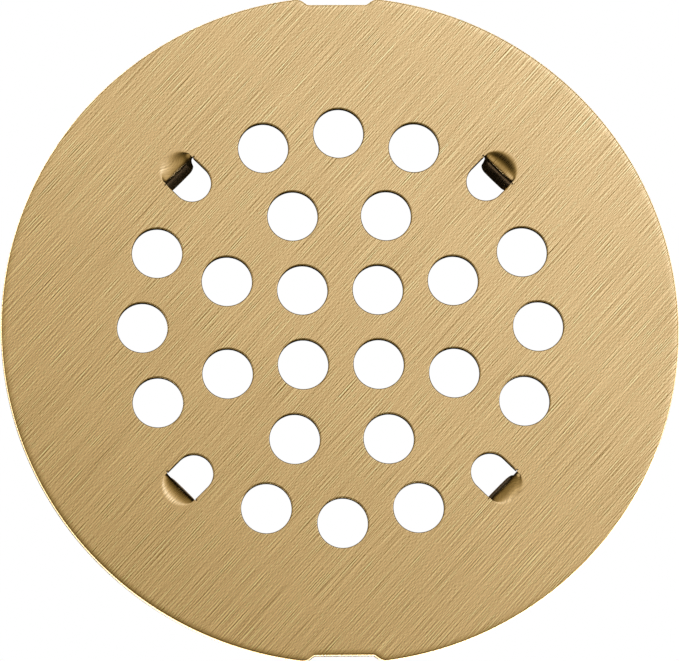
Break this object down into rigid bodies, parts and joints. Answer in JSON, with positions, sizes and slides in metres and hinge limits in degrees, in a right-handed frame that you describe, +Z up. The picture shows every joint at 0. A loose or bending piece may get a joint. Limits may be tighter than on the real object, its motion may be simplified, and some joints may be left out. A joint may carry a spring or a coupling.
{
  "type": "floor drain grate",
  "caption": "Round snap-in floor drain grate: a thin brushed gold plate pierced with round drain holes, held in the drain throat by sprung prongs bent down from the plate.",
  "frame": {"origin": "centre of the plate's flat underside, the face that seats on the drain's ledge", "axes": "+Z up through the visible brushed face; +X and +Y in the plate, with the two pry notches at -Y (front) and +Y (rear); the prongs are on the diagonals"},
  "size_m": [0.108, 0.1072, 0.0069],
  "materials": {
    "brushed_gold": "stainless steel sheet with a gold PVD coating, brushed in one straight direction",
    "formed_gold": "the same gold-coated sheet where it is bent down into the prongs"
  },
  "bodies": {
    "plate": {"strainer_plate": "brushed_gold"},
    "prong_rear_right": {"prong_rear_right": "formed_gold"},
    "prong_rear_left": {"prong_rear_left": "formed_gold"},
    "prong_front_left": {"prong_front_left": "formed_gold"},
    "prong_front_right": {"prong_front_right": "formed_gold"}
  },
  "joints": [
    {"name": "rear_right_prong_flex", "type": "hinge", "parent": "plate", "child": "prong_rear_right", "pos_m": [0.02625, 0.02625, 0.00021], "axis": [-0.7071, 0.7071, 0], "range_deg": [-3, 8], "stiffness_Nm_per_rad": 20},
    {"name": "rear_left_prong_flex", "type": "hinge", "parent": "plate", "child": "prong_rear_left", "pos_m": [-0.02625, 0.02625, 0.00021], "axis": [-0.7071, -0.7071, 0], "range_deg": [-3, 8], "stiffness_Nm_per_rad": 20},
    {"name": "front_left_prong_flex", "type": "hinge", "parent": "plate", "child": "prong_front_left", "pos_m": [-0.02625, -0.02625, 0.00021], "axis": [0.7071, -0.7071, 0], "range_deg": [-3, 8], "stiffness_Nm_per_rad": 20},
    {"name": "front_right_prong_flex", "type": "hinge", "parent": "plate", "child": "prong_front_right", "pos_m": [0.02625, -0.02625, 0.00021], "axis": [0.7071, 0.7071, 0], "range_deg": [-3, 8], "stiffness_Nm_per_rad": 20}
  ]
}
